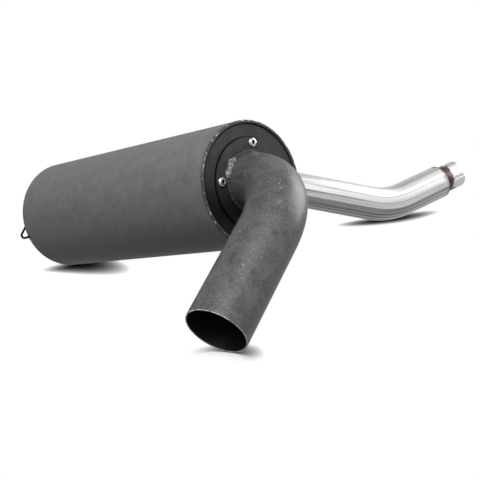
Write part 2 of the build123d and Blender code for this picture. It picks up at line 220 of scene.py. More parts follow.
def patch(points, lay=None, closed_rows=False, closed_columns=True):
    """A grid of points and its quads. Closed rows join the last row to the first, and closed columns
    the last column to the first. lay is what the finish follows, one vector for each point."""
    points = np.asarray(points, float)
    rows, columns = points.shape[:2]
    index = np.arange(rows * columns).reshape(rows, columns)
    if closed_rows:
        index = np.vstack([index, index[:1]])
    if closed_columns:
        index = np.hstack([index, index[:, :1]])
    quads = np.stack([index[:-1, :-1], index[:-1, 1:], index[1:, 1:], index[1:, :-1]], -1)
    flat = points.reshape(-1, 3)
    lays = np.zeros_like(flat) if lay is None else np.broadcast_to(lay, points.shape).reshape(-1, 3)
    return flat, quads.reshape(-1, 4), lays


def lathe(x, r, turn, centre=(0.0, 0.0)):
    """A profile turned about the canister's axis, or about a line beside it: X is x, and Y and Z go
    round the centre at the distance r. All three are arrays that broadcast to one grid."""
    x, r, turn = np.broadcast_arrays(x, r, turn)
    return place(np.stack([x, centre[0] + r * np.cos(turn), centre[1] + r * np.sin(turn)], -1))


def rounded_route(corners, radius, step):
    """A path of straight runs joined by tangent arcs: its points, its unit tangents and the length
    along it. An arc turns about the point that lies a radius from both of its runs."""
    points, tangents = [corners[0]], [unit(corners[1] - corners[0])]
    for before, corner, after in zip(corners, corners[1:], corners[2:]):
        first, second = unit(corner - before), unit(after - corner)
        turn = acos(np.clip(first @ second, -1, 1))
        start = corner - first * radius * np.tan(turn / 2)
        inward = unit(second - first * (first @ second))
        steps = np.linspace(0, turn, max(6, int(turn * radius / step) + 1))[:, None]
        points.extend(start + radius * (np.sin(steps) * first + (1 - np.cos(steps)) * inward))
        tangents.extend(np.cos(steps) * first + np.sin(steps) * inward)
    points.append(corners[-1])
    tangents.append(unit(corners[-1] - corners[-2]))
    points, tangents = np.array(points), np.array(tangents)
    run = np.concatenate([[0], np.cumsum(np.linalg.norm(np.diff(points, axis=0), axis=1))])
    return points, tangents, run


def carried_sides(tangents, first_side):
    """A side vector square to each tangent, carried along the path with the least twist."""
    sides = [unit(first_side - tangents[0] * (first_side @ tangents[0]))]
    for tangent in tangents[1:]:
        sides.append(unit(sides[-1] - tangent * (sides[-1] @ tangent)))
    return np.array(sides)


def ring_along(points, tangents, sides, r, turn):
    """Circles of radius r round each point of a path, in the plane square to its tangent."""
    across = np.cross(tangents, sides)
    r = np.broadcast_to(np.asarray(r, float).reshape(-1, 1), (len(points), 1))[..., None]
    turn = turn[..., None]
    return points[:, None] + r * (np.cos(turn) * sides[:, None] + np.sin(turn) * across[:, None])


def around(turn, r, run):
    """What a drawn tube's finish follows: the place round the tube in two numbers, and along it."""
    turn, r, run = np.broadcast_arrays(turn, r, run)
    return np.stack([r * np.cos(turn), r * np.sin(turn), run], -1)


def square_edge(side):
    """Points evenly round a square that reaches from -1 to 1, as one array of pairs."""
    step = np.arange(side) * 2 / side - 1
    ones = np.ones(side)
    return np.concatenate(
        [
            np.stack([step, -ones], -1),
            np.stack([ones, step], -1),
            np.stack([-step, ones], -1),
            np.stack([-ones, -step], -1),
        ]
    )


def pierced_tube(x0, x1, outer_r, inner_r, hole_r, rows, tiles, half_height, side, pierced):
    """A tube wall with round holes, as sheets over x and the angle. Each row of holes is a belt of
    square tiles, and a pierced tile is a fan of quads from its hole out to its edge:
    point = hole + k (edge - hole). The hole is a circle in the plane that faces the drill, so its
    angle is asin(offset / radius). Rows may be turned by half a tile."""
    half_turn = pi / tiles
    full = np.arange(tiles * side + 1)[None, :] * 2 * half_turn / side
    edge = square_edge(side)
    edge = np.vstack([edge, edge[:1]])
    heading = np.arctan2(edge[:, 1] * half_turn * outer_r, edge[:, 0] * half_height)
    share = np.array([0, 0.3, 0.62, 1])[:, None]
    square = np.linspace(-1, 1, side + 1)
    patches = []

    def sheet(x, turn_out, turn_in):
        for r, turn in ((outer_r, turn_out), (inner_r, turn_in)):
            patches.append(patch(lathe(x, r, turn), closed_columns=False))

    for centre, start in rows:
        for tile in range(tiles):
            middle = start + tile * 2 * half_turn
            if tile not in pierced:
                sheet(
                    centre + square[:, None] * half_height,
                    middle + square[None, :] * half_turn,
                    middle + square[None, :] * half_turn,
                )
                continue
            hole_x = hole_r * np.cos(heading)
            x = centre + hole_x + share * (edge[:, 0] * half_height - hole_x)
            turns = []
            for r in (outer_r, inner_r):
                hole_turn = np.arcsin(hole_r * np.sin(heading) / r)
                turns.append(middle + hole_turn + share * (edge[:, 1] * half_turn - hole_turn))
            sheet(x, *turns)
            wall_r = np.array([outer_r, inner_r])[:, None]
            wall_turn = np.stack([turns[0][0], turns[1][0]])
            patches.append(patch(lathe(x[:1], wall_r, wall_turn), closed_columns=False))
    start = rows[0][1] - half_turn
    first, last = rows[0][0] - half_height, rows[-1][0] + half_height
    for low, high in ((x0, first), (last, x1)):
        x = np.linspace(low, high, max(2, int((high - low) / PLAIN_STEP)))[:, None]
        sheet(x, start + full, start + full)
    ring_r = np.array([outer_r, inner_r])[:, None]
    for x in (x0, x1):
        patches.append(patch(lathe(x, ring_r, start + full), closed_columns=False))
    return patches


def piece(name, patches, finish, body, slot, *nodes, crease=40):
    """One finished mesh from its patches: joined where they meet, facing outwards, smooth but for
    edges sharper than the crease angle. It rides on a body and stands for its CAD nodes."""
    counts = np.cumsum([0] + [len(points) for points, _, _ in patches])
    points = np.concatenate([points for points, _, _ in patches])
    quads = np.concatenate([quads + first for (_, quads, _), first in zip(patches, counts)])
    mesh = bpy.data.meshes.new(name)
    mesh.from_pydata(points.tolist(), [], quads.tolist())
    lay = mesh.attributes.new("lay", "FLOAT_VECTOR", "POINT")
    lay.data.foreach_set("vector", np.concatenate([lays for _, _, lays in patches]).ravel())
    work = bmesh.new()
    work.from_mesh(mesh)
    bmesh.ops.remove_doubles(work, verts=work.verts, dist=MERGE_DISTANCE)
    bmesh.ops.recalc_face_normals(work, faces=work.faces)
    work.to_mesh(mesh)
    work.free()
    mesh.polygons.foreach_set("use_smooth", [True] * len(mesh.polygons))
    mesh.set_sharp_from_angle(angle=radians(crease))
    mesh.materials.append(finish)
    made = bpy.data.objects.new(name, mesh)
    bpy.context.scene.collection.objects.link(made)
    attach(made, body)
    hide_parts(*nodes)
    return made


# ---------------------------------------------------------------- shader writing
class Wire:
    """A socket that can be used in sums: an expression on it adds its Math nodes."""

    def __init__(self, shading, socket):
        self.shading, self.socket = shading, socket

    def _math(self, operation, *values):
        return self.shading.node("Math", {"operation": operation}, dict(enumerate(values)))

    def __add__(self, other):
        return self._math("ADD", self, other)

    def __sub__(self, other):
        return self._math("SUBTRACT", self, other)

    def __rsub__(self, other):
        return self._math("SUBTRACT", other, self)

    def __mul__(self, other):
        return self._math("MULTIPLY", self, other)

    def __pow__(self, other):
        return self._math("POWER", self, other)

    def __abs__(self):
        return self._math("ABSOLUTE", self)

    def part(self, low, high):
        """0 at or below low and 1 at or above high, with a smooth run between."""
        settings = {"interpolation_type": "SMOOTHSTEP"}
        return self.shading.node("MapRange", settings, {0: self, 1: low, 2: high, 3: 0.0, 4: 1.0})

    __radd__ = __add__
    __rmul__ = __mul__


class Shading:
    """A node tree, and the few ways in which nodes are added to it."""

    def __init__(self, tree):
        self.tree = tree

    def node(self, kind, settings=None, sockets=None, out=0):
        made = self.tree.nodes.new("ShaderNode" + kind)
        for key, value in (settings or {}).items():
            if key == "stops":
                self._stops(made.color_ramp, value)
            else:
                setattr(made, key, value)
        for key, value in (sockets or {}).items():
            if isinstance(value, Wire):
                self.tree.links.new(value.socket, made.inputs[key])
            else:
                made.inputs[key].default_value = value
        return Wire(self, made.outputs[out]) if made.outputs else None

    @staticmethod
    def _stops(ramp, stops):
        while len(ramp.elements) < len(stops):
            ramp.elements.new(1)
        for element, (place_on_ramp, colour) in zip(ramp.elements, stops):
            element.position, element.color = place_on_ramp, (*colour, 1)

    def spot(self):
        """The place on the piece, in its own frame."""
        return self.node("TexCoord", out="Object")

    def lay(self):
        """The piece's own attribute: where a point is round its tube, and along it."""
        return self.node("Attribute", {"attribute_name": "lay"}, out="Vector")

    def split(self, vector, which):
        return self.node("SeparateXYZ", None, {0: vector}, out=which)

    def vector(self, operation, first, second, out="Vector"):
        return self.node("VectorMath", {"operation": operation}, {0: first, 1: second}, out)

    def stretch(self, vector, scale):
        return self.vector("MULTIPLY", vector, scale)

    def noise(self, vector, scale, detail=2.0, roughness=0.5):
        values = {"Vector": vector, "Scale": scale, "Detail": detail, "Roughness": roughness}
        return self.node("TexNoise", None, values)

    def cells(self, vector, scale):
        """The distance from the nearest of many scattered points."""
        return self.node("TexVoronoi", None, {"Vector": vector, "Scale": scale})

    def mix(self, share, first, second):
        values = [v if isinstance(v, Wire) else (*v, 1) for v in (first, second)]
        return self.node("Mix", {"data_type": "RGBA"}, {0: share, 6: values[0], 7: values[1]}, out=2)

    def ramp(self, value, stops):
        return self.node("ValToRGB", {"stops": stops}, {0: value})

    def bump(self, height, strength, distance):
        return self.node("Bump", None, {"Strength": strength, "Distance": distance, "Height": height})


class Finish(Shading):
    """A material with its Principled shader, whose constants are set by name."""

    def __init__(self, name, **constants):
        self.material = bpy.data.materials.new(name)
        self.material.use_nodes = True
        super().__init__(self.material.node_tree)
        self.shader = self.tree.nodes["Principled BSDF"]
        for socket, value in constants.items():
            label = socket.replace("_", " ").title().replace("Ior", "IOR")
            self.shader.inputs[label].default_value = value

    def feed(self, **wires):
        for socket, wire in wires.items():
            self.tree.links.new(wire.socket, self.shader.inputs[socket.replace("_", " ").title()])
        return self.material


def grey(value):
    return (value, value, value)


# ---------------------------------------------------------------- finishes
def coat(name, dark, light, rough=0.50, gloss=0.5, shaded_below=False, rings=()):
    """Charcoal high-temperature coating: a fine grain, soft clouds, a few pale rubs and pinholes. On the
    end face it can be painted darker towards the bottom, as painted shade, and painted near black as
    painted shade in the corners that run round the canister's axis at the radii given as rings."""
    finish = Finish(name, metallic=0.0, specular_ior_level=gloss)
    spot = finish.spot()
    clouds = finish.noise(spot, 60.0, 4.0, 0.6)
    grains = finish.noise(spot, 1100.0, 2.0, 0.6)
    specks = finish.noise(spot, 520.0, 1.0)
    rubs = finish.noise(finish.stretch(spot, (30, 30, 55)), 1.0, 6.0, 0.7)
    rub_share = rubs.part(0.60, 0.78) * specks.part(0.45, 0.75)
    body = finish.mix(clouds.part(0.3, 0.7), grey(dark), grey(light))
    body = finish.mix(grains.part(0.4, 0.7) * 0.5, body, grey(light * 2.0))
    body = finish.mix(rub_share * 0.4, body, grey(light * 3.2))
    # Painted shade: the coat goes near black towards the bottom, measured down from the rim's middle.
    if shaded_below:
        from_rim = finish.vector("SUBTRACT", spot, rim_centre)
        drop = finish.vector("DOT_PRODUCT", from_rim, -axis_z, out="Value")
        body = finish.mix(drop.part(SHADE_BELOW_START, SHADE_BELOW_FULL) * 0.85, body, grey(0.001))
    # Painted shade: a near-black line in the corner at each radius given as rings.
    for ring in rings:
        across = finish.vector("CROSS_PRODUCT", finish.vector("SUBTRACT", spot, rim_centre), axis_x)
        r = finish.vector("DISTANCE", across, (0, 0, 0), out="Value")
        corner_shade = 1 - abs(r - ring).part(CORNER_SHADE_WIDTH / 2, CORNER_SHADE_WIDTH)
        body = finish.mix(corner_shade, body, grey(0.0005))
    roughness = clouds * 0.16 + grains * 0.12 + (rough - 0.14)
    bump = finish.bump(grains + specks * 0.6, 0.5, 0.00022)
    return finish.feed(base_color=body, roughness=roughness, normal=bump)


def chipped_coat(name):
    """The rim's coating, rubbed through to pale metal in small spots on its outer corner."""
    finish = Finish(name, specular_ior_level=0.5)
    spot = finish.spot()
    grains = finish.noise(spot, 1500.0, 2.0, 0.6)
    spots = finish.noise(spot, 210.0, 3.0, 0.65)
    where = finish.noise(spot, 22.0, 1.0)
    corner = finish.split(finish.lay(), 0).part(0.35, 0.85)
    chips = spots.part(0.52, 0.58) * where.part(0.42, 0.56) * corner
    body = finish.mix(grains.part(0.35, 0.75) * 0.4, grey(0.022), grey(0.08))
    body = finish.mix(chips * 0.9, body, (0.36, 0.355, 0.35))
    bump = finish.bump(grains * 0.5 + spots * 1.4, 0.5, 0.0005)
    return finish.feed(base_color=body, roughness=0.62 - chips * 0.2, normal=bump)


def coated_weld(name):
    """A coated weld bead: where its lay says so, grey to pale grit as a painted highlight on its lit
    side; elsewhere near black, as painted shade.
    """
    finish = Finish(name, specular_ior_level=0.5)
    spot = finish.spot()
    grit = finish.noise(spot, 500.0, 4.0, 0.7)
    lit_patch = finish.split(finish.lay(), 0)
    body = finish.mix(grit.part(0.35, 0.7), grey(0.07), (0.36, 0.355, 0.345))
    # Painted light and shade: the grit shows only on the lit side that the lay marks; the rest is near
    # black.
    body = finish.mix(lit_patch * finish.noise(spot, 240.0, 3.0, 0.6).part(0.3, 0.5), grey(0.014), body)
    bump = finish.bump(grit, 0.8, 0.0006)
    return finish.feed(base_color=body, roughness=0.68 - grit * 0.2, normal=bump)


def tip_coat(name):
    """The elbow's coating: as the canister's, but worn to a pale line on the cut tip, and black with soot
    inside the bore. The piece's lay says how far out a point is in its wall, and how near the tip."""
    finish = Finish(name, specular_ior_level=0.5)
    spot = finish.spot()
    depth = finish.split(finish.lay(), 0)
    tip = finish.split(finish.lay(), 1)
    clouds = finish.noise(spot, 55.0, 6.0, 0.7)
    grains = finish.noise(spot, 620.0, 3.0, 0.75)
    specks = finish.noise(spot, 380.0, 2.0)
    rubs = finish.noise(finish.stretch(spot, (70, 34, 34)), 1.0, 6.0, 0.7)
    worn = rubs.part(0.56, 0.70) * specks.part(0.52, 0.66)
    body = finish.mix(clouds.part(0.35, 0.65), grey(0.026), grey(0.058))
    body = finish.mix(grains.part(0.45, 0.65) * 0.5, body, grey(0.13))
    body = finish.mix(worn * 0.5, body, grey(0.34))
    lip = tip.part(0.3, 0.9) * finish.noise(spot, 150.0, 2.0).part(0.25, 0.55)
    body = finish.mix(lip * 0.9, body, (0.70, 0.69, 0.67))
    body = finish.mix(1 - depth.part(0.0, 0.5), body, grey(0.006))
    roughness = clouds * 0.26 + grains * 0.16 + 0.20
    bump = finish.bump(grains + specks * 0.8, 0.6, 0.0003)
    return finish.feed(base_color=body, roughness=roughness, normal=bump)


def drawn_steel(name, tint=0.0, ends=(0.0, 1.0), shade=0.26):
    """Bare drawn steel: fine lines and wide bands that run along the tube, and a straw to violet heat
    tint near a weld, whose place is given by the run along the tube. The wide bands are partly the
    steel's own streaks and partly painted reflection: they run from the dark shade grey to near white."""
    finish = Finish(name, metallic=1.0)
    lay = finish.lay()
    bands = finish.noise(finish.stretch(lay, (120, 120, 0.8)), 1.0, 5.0, 0.72)
    lines = finish.noise(finish.stretch(lay, (900, 900, 14)), 1.0, 3.0, 0.7)
    scuffs = finish.noise(finish.stretch(lay, (300, 300, 130)), 1.0, 4.0, 0.7)
    # Partly painted reflection: the wide bands go from the shade grey to near white, far darker and paler
    # than the steel's own streaks.
    body = finish.mix(bands.part(0.44, 0.56), grey(shade), (0.89, 0.885, 0.88))
    body = finish.mix(lines.part(0.3, 0.7) * 0.3, body, (0.86, 0.855, 0.85))
    body = finish.mix(scuffs.part(0.55, 0.75) * 0.4, body, (0.55, 0.54, 0.53))
    if tint:
        run = finish.split(lay, 2)
        heat = finish.noise(finish.stretch(lay, (70, 70, 90)), 1.0, 3.0) * 1.6 + run.part(*ends) - 0.85
        colours = finish.ramp(
            heat,
            [
                (0.0, (0.62, 0.60, 0.58)),
                (0.30, (0.60, 0.55, 0.50)),
                (0.50, (0.30, 0.23, 0.195)),
                (0.75, (0.115, 0.09, 0.09)),
                (1.0, (0.09, 0.075, 0.07)),
            ],
        )
        body = finish.mix(heat.part(0.3, 0.55) * tint, body, colours)
    roughness = lines * 0.16 + bands * 0.2 + 0.18
    bump = finish.bump(lines * 0.7 + scuffs * 0.3, 0.25, 0.00012)
    return finish.feed(base_color=body, roughness=roughness, normal=bump)


def burnt_weld(name):
    """An uncoated weld bead, brown and violet from its heat, with pale crests."""
    finish = Finish(name, metallic=0.9)
    spot = finish.spot()
    grit = finish.noise(spot, 520.0, 3.0, 0.6)
    tone = finish.noise(spot, 90.0, 2.0)
    body = finish.mix(tone.part(0.35, 0.65), (0.17, 0.13, 0.11), (0.11, 0.09, 0.095))
    body = finish.mix(grit.part(0.55, 0.75) * 0.7, body, (0.62, 0.58, 0.54))
    return finish.feed(
        base_color=body, roughness=grit * 0.25 + 0.28, normal=finish.bump(grit, 0.5, 0.0003)
    )


def plated_steel(name):
    """Bright plating with faint swirls and a few dull specks, and painted black where its lay is 1, as
    painted shade down in a socket.
    """
    finish = Finish(name, metallic=1.0)
    spot = finish.spot()
    swirl = finish.noise(spot, 900.0, 3.0, 0.6)
    dull = finish.noise(spot, 260.0, 2.0)
    body = finish.mix(dull.part(0.55, 0.8), (0.95, 0.95, 0.95), (0.70, 0.70, 0.70))
    # Painted shade: black down in the socket, where the lay is 1.
    body = finish.mix(finish.split(finish.lay(), 0).part(0.0, 1.0), body, grey(0.01))
    return finish.feed(
        base_color=body, roughness=swirl * 0.16 + 0.08, normal=finish.bump(swirl, 0.15, 0.0001)
    )


def sheet_steel(name, soot=0.5):
    """Plain sheet steel inside the canister, dulled and sooted in clouds."""
    finish = Finish(name, metallic=0.85)
    spot = finish.spot()
    clouds = finish.noise(spot, 42.0, 4.0, 0.6)
    grains = finish.noise(spot, 900.0, 2.0, 0.6)
    body = finish.mix(grains.part(0.3, 0.7), (0.36, 0.35, 0.34), (0.52, 0.51, 0.49))
    body = finish.mix(clouds.part(0.35, 0.7) * soot, body, (0.10, 0.085, 0.07))
    return finish.feed(
        base_color=body, roughness=clouds * 0.3 + 0.3, normal=finish.bump(grains, 0.25, 0.0002)
    )


def fibre_wool(name):
    """Glass-fibre packing: pale straw wool with crossing strands."""
    finish = Finish(name, sheen_weight=0.3)
    spot = finish.spot()
    strands = finish.noise(finish.stretch(spot, (120, 900, 900)), 1.0, 4.0, 0.7)
    crossed = finish.noise(finish.stretch(spot, (900, 140, 500)), 1.0, 4.0, 0.7)
    body = finish.mix(strands.part(0.3, 0.7), (0.50, 0.46, 0.33), (0.86, 0.83, 0.70))
    bump = finish.bump(strands + crossed, 0.8, 0.001)
    return finish.feed(base_color=body, roughness=crossed * 0.2 + 0.75, normal=bump)


def graphite_sheet(name):
    """Dark graphite gasket with a faint pressed grain."""
    finish = Finish(name, specular_ior_level=0.35)
    spot = finish.spot()
    flakes = finish.cells(spot, 900.0)
    clouds = finish.noise(spot, 120.0, 3.0)
    body = finish.mix(flakes.part(0.1, 0.6), (0.012, 0.012, 0.013), (0.045, 0.045, 0.047))
    return finish.feed(
        base_color=body, roughness=clouds * 0.3 + 0.5, normal=finish.bump(flakes, 0.3, 0.0002)
    )


# ---------------------------------------------------------------- canister
def canister_shell(finish):
    """The rolled tube, with a round hole in its side where the inlet pipe goes through."""
    patches = pierced_tube(
        dish_start, -RIM_DEPTH, CANISTER_R, CANISTER_R - SHEET, INLET_HOLE_R,
        [(INLET_X, INLET_RISE)], tiles=4, half_height=HOLE_TILE_HALF, side=32, pierced={0},
    )
    piece("canister_shell", patches, finish, "canister", "black_coat", "shell")


def dished_end(finish):
    """A flat middle and a quarter-elliptical knuckle, outside and inside: x = start + depth cos a,
    r = flat + knuckle sin a, for a from 180 down to 90 degrees."""
    a = np.linspace(pi, pi / 2, 40)
    outer_x = dish_start + DISH_DEPTH * np.cos(a)
    outer_r = DISH_FLAT_R + dish_knuckle * np.sin(a)
    inner_x = dish_start + (DISH_DEPTH - SHEET) * np.cos(a[::-1])
    inner_r = DISH_FLAT_R + (dish_knuckle - SHEET) * np.sin(a[::-1])
    x = np.concatenate([[-CANISTER_LENGTH], outer_x, inner_x, [SHEET - CANISTER_LENGTH]])
    r = np.concatenate([[0], outer_r, inner_r, [0]])
    patches = [patch(lathe(x[:, None], r[:, None], angles(128)))]
    piece("dish_end_pressing", patches, finish, "canister", "black_coat", "dish_end")


def rolled_rim(finish):
    """The lock rim: a rounded section, |x|^2.9 + |r|^2.9 = 1 in its half widths, pressed in a little
    where the rolling tool has chattered round it."""
    section = np.linspace(0, 2 * pi, 40, endpoint=False)[:, None]
    turn = angles(360)
    half_x, half_r = RIM_DEPTH / 2, (RIM_OUTER_R - RIM_INNER_R) / 2
    x = half_x * np.sign(np.cos(section)) * np.abs(np.cos(section)) ** 0.7
    r = half_r * np.sign(np.sin(section)) * np.abs(np.sin(section)) ** 0.7
    dents = 0.5 + 0.5 * wobble(turn, (23, 41, 67, 97, 113), 5)
    dents = np.clip(dents, 0, 1.5) * RIM_DENT * (r > 0) * np.abs(r / half_r) ** 3
    lay = np.stack(np.broadcast_arrays(np.maximum(x / half_x, 0) * (r > 0), 0, turn * 0), -1)
    grid = lathe(x - half_x, RIM_OUTER_R - half_r + r - dents, turn)
    patches = [patch(grid, lay, closed_rows=True)]
    piece("rolled_rim", patches, finish, "canister", "black_coat", "rim_ring")


def wire_loop(finish):
    """The spring loop: round wire up one straight leg, round a corner, and back down a slanting leg.
    Its plane stands square to the knuckle and leans, and both feet end just inside the pressing."""
    flat, knuckle = DISH_FLAT_R, dish_knuckle
    radial = np.array([0, cos(LOOP_ANGLE), sin(LOOP_ANGLE)])
    round_way = np.array([0, sin(LOOP_ANGLE), -cos(LOOP_ANGLE)])
    foot = radial * (flat + knuckle * cos(LOOP_KNUCKLE_ANGLE))
    foot = foot + np.array([dish_start - DISH_DEPTH * sin(LOOP_KNUCKLE_ANGLE), 0, 0])
    slope = radial * cos(LOOP_KNUCKLE_ANGLE) / knuckle
    outward = unit(slope - np.array([sin(LOOP_KNUCKLE_ANGLE) / DISH_DEPTH, 0, 0]))
    lean = round_way * cos(LOOP_LEAN) + np.cross(outward, round_way) * sin(LOOP_LEAN)
    half = LOOP_SPREAD / 2
    corners = np.array(
        [
            foot - lean * half - outward * LOOP_SINK,
            foot - lean * half + outward * LOOP_REACH,
            foot + lean * half * LOOP_CLOSE - outward * LOOP_SINK * 2,
        ]
    )
    points, tangents, run = rounded_route(place(corners), LOOP_CORNER, 0.0006)
    sides = carried_sides(tangents, direction(*np.cross(outward, lean)))
    turn = angles(24)
    fade = np.array([0, 1])
    points = np.concatenate([points[:1], points, points[-1:]])
    tangents = np.concatenate([tangents[:1], tangents, tangents[-1:]])
    sides = np.concatenate([sides[:1], sides, sides[-1:]])
    r = np.concatenate([fade[:1], np.full(len(run), WIRE_R), fade[:1]])
    patches = [patch(ring_along(points, tangents, sides, r, turn))]
    for end in (corners[0], corners[2]):
        patches.append(tack(place(end), direction(*outward), 5 + int(end[2] > foot[2])))
    piece("wire_loop", patches, finish, "canister", "black_coat", "spring_loop", crease=60)


def tack(centre, up, seed):
    """A small weld tack at a wire's foot: a low dome, r = R cos e and height = H sin e, with a wavy
    edge, and a flat closed underside."""
    rise = np.linspace(0, pi / 2, 9)[:, None]
    turn = angles(32)
    wide = TACK_R * (1 + 0.09 * wobble(turn, (2, 3, 5, 8), seed))
    r = np.concatenate([np.zeros_like(turn), wide * np.cos(rise)])
    height = np.concatenate([0 * turn, TACK_RISE * np.sin(rise) + 0 * turn]) - TACK_SINK
    side = unit(np.cross(up, axis_x))
    across = np.cross(up, side)
    turn, r, height = (v[..., None] for v in np.broadcast_arrays(turn, r, height))
    return patch(centre + r * (np.cos(turn) * side + np.sin(turn) * across) + height * up)


# ---------------------------------------------------------------- outlet
def elbow_frame():
    """The elbow's bend from its tail: the side that it bends towards, its angle and where it starts."""
    bend = acos(tail_axis @ axis_x)
    aim = unit(tail_axis - axis_x * (tail_axis @ axis_x))
    reach = axis_x * sin(bend) + aim * (1 - cos(bend))
    return aim, bend, tail_tip - tail_axis * tail_length - reach * ELBOW_BEND_R


def outlet_elbow(finish):
    """A bend and a straight tail, in one wall. In the bend a point at the angle b lies at
    centre + (R + r cos t)(x sin b - aim cos b) + r sin t side, from where it leaves the flange's
    face, sin b = trim / (R + r cos t), to the tail. The tip's edge is half round."""
    aim, bend, start = elbow_frame()
    side = np.cross(axis_x, aim)
    centre = start + aim * ELBOW_BEND_R
    turn = angles(ROUND)
    inner_r = ELBOW_R - ELBOW_WALL

    def bend_rows(r, trim):
        reach = ELBOW_BEND_R + r * np.cos(turn)
        first = np.arcsin(trim / reach)
        b = first + np.linspace(0, 1, 64)[:, None] * (bend - first)
        out = np.sin(b)[..., None] * axis_x - np.cos(b)[..., None] * aim
        return centre + reach[..., None] * out + (r * np.sin(turn))[..., None] * side

    def tail_rows(r, run):
        r, run, t = (v[..., None] for v in np.broadcast_arrays(r[:, None], run[:, None], turn))
        out = axis_x * sin(bend) - aim * cos(bend)
        return tail_tip - tail_axis * run + r * (np.cos(t) * out + np.sin(t) * side)

    half = ELBOW_WALL / 2
    lip = np.linspace(0, pi, 9)
    steps = np.array([0.75, 0.5, 0.25, 0.12, 0.05, 0.02]) * tail_length
    outer_tail = tail_rows(np.full(len(steps), ELBOW_R), steps)
    edge = tail_rows(ELBOW_R - half + half * np.cos(lip), half * 0.8 * (1 - np.sin(lip)))
    inner_tail = tail_rows(np.full(len(steps), inner_r), steps[::-1])
    inner_bend = bend_rows(inner_r, ELBOW_TRIM)[::-1]
    grids = [bend_rows(ELBOW_R, ELBOW_TRIM), outer_tail, edge, inner_tail, inner_bend]
    wall = [np.ones(64), np.ones(len(steps)), np.linspace(1, 0, 9), np.zeros(len(steps)), np.zeros(64)]
    near = [np.zeros(64), np.zeros(len(steps)), np.sin(lip) ** 0.5, np.zeros(len(steps)), np.zeros(64)]
    wall, near = np.concatenate(wall), np.concatenate(near)
    lay = np.stack([wall, near, wall * 0], -1)[:, None, :]
    patches = [patch(np.concatenate(grids), lay, closed_rows=True)]
    piece("tail_elbow", patches, finish, "outlet", "black_coat", "outlet_elbow")


def foot_weld(finish):
    """The bead round the elbow's foot: a bulged section carried round the foot's circle, r and x
    scaled by ripples that lean over one another, and built up thicker on one side, which its lay marks
    for a painted highlight."""
    aim, _, start = elbow_frame()
    sink = ELBOW_BEND_R - (ELBOW_BEND_R**2 - ELBOW_TRIM**2) ** 0.5
    foot = (start + aim * sink - rim_centre) @ canister_turn.T
    turn = angles(480)
    section = np.linspace(0, pi / 2, 14)[:, None]
    ripple = 0.5 + 0.5 * np.sin(60 * turn + 2.2 * section + 1.4 * np.sin(3 * turn))
    rough = 1 - 0.09 * ripple - 0.10 * np.clip(wobble(turn, (7, 19, 43, 88), 3), -1, 2)
    # One side of the bead is built up thicker, and the same mask goes into the lay for a painted
    # highlight there.
    heap_and_lit_side = np.clip((PALE_WELD_HALF - np.abs(turn - PALE_WELD_MIDDLE)) / PALE_WELD_FADE, 0, 1)
    rough = rough * (1 + heap_and_lit_side * (0.35 + 0.22 * wobble(turn, (17, 31, 57, 83), 8)))
    r = ELBOW_R + FOOT_WELD_WIDTH * np.cos(section) ** 0.8 * rough
    x = FLANGE_FACE + FOOT_WELD_HEIGHT * np.sin(section) ** 0.8 * rough
    base_r = np.array([ELBOW_R - ELBOW_WALL * 0.3, ELBOW_R - ELBOW_WALL * 0.3])[:, None]
    base_x = np.array([[FLANGE_FACE + FOOT_WELD_HEIGHT * 0.8], [FLANGE_FACE - SINK * 0.2]])
    r = np.concatenate([r, base_r + 0 * turn])
    x = np.concatenate([x, base_x + 0 * turn])
    lay = np.stack([heap_and_lit_side + 0 * x, 0 * x, 0 * x], -1)
    patches = [patch(lathe(x, r, turn, foot[1:]), lay, closed_rows=True)]
    piece("foot_weld_bead", patches, finish, "outlet", "black_weld", "elbow_weld", crease=70)


def button_screws(finish):
    """Button-head screws. Over the head and the shank a point is (x, r) turned about the screw; the
    socket's radius is that of a hexagon, half / cos of the turn from the nearest flat, and the thread
    is a groove whose depth follows the turn and the place along the shank."""
    turn = angles(48)
    hexagon = SOCKET_HALF / np.cos((turn + pi / 6) % (pi / 3) - pi / 6)
    dome = np.linspace(0, pi / 2, 10)[:, None]
    dome_r = HEAD_TOP_R + (HEAD_R - HEAD_TOP_R) * np.cos(dome) ** 0.8 + 0 * turn
    dome_x = HEAD_HEIGHT * (0.12 + 0.88 * np.sin(dome) ** 0.9) + 0 * turn
    along = np.linspace(0, 1, 129)[:, None]
    depth = -along * SCREW_LENGTH
    groove = np.abs(((depth / SCREW_PITCH - turn / (2 * pi)) % 1) - 0.5) * 2
    taper = np.clip((SCREW_LENGTH + depth) / SCREW_TIP, 0.72, 1)
    cut = THREAD_DEPTH * (1 - groove) * np.clip(along * 12, 0, 1) * np.clip((1 - along) * 30, 0, 1)
    rows = [
        (0 * turn, SCREW_R + 0 * turn),
        (0 * turn, HEAD_R + 0 * turn),
        (dome_x, dome_r),
        (HEAD_HEIGHT + 0 * turn, hexagon + SOCKET_EDGE),
        (HEAD_HEIGHT - SOCKET_EDGE + 0 * turn, hexagon),
        (HEAD_HEIGHT - SOCKET_DEPTH + 0 * turn, hexagon),
        (HEAD_HEIGHT - SOCKET_DEPTH - SOCKET_POINT + 0 * turn, 0 * turn),
    ]
    head_x = np.concatenate([x for x, _ in rows])
    head_r = np.concatenate([r for _, r in rows])
    x = np.concatenate([-SCREW_LENGTH + 0 * turn, (depth + 0 * turn)[::-1], head_x])
    r = np.concatenate([0 * turn, (SCREW_R * taper - cut)[::-1], head_r])
    # The socket's bottom rows get lay 1, for painted shade down in the socket.
    socket_shade = np.zeros(len(x))
    socket_shade[-3:] = 1
    lay = np.stack([socket_shade, 0 * socket_shade, 0 * socket_shade], -1)[:, None, :]
    patches = []
    for number in range(SCREW_COUNT):
        where = number * 2 * pi / SCREW_COUNT
        centre = (SCREW_CIRCLE_R * cos(where), SCREW_CIRCLE_R * sin(where))
        patches.append(patch(lathe(FLANGE_FACE + x, r, turn + where * 1.3, centre), lay))
    piece("button_screws", patches, finish, "screws", "screw_steel", "flange_screws", crease=32)


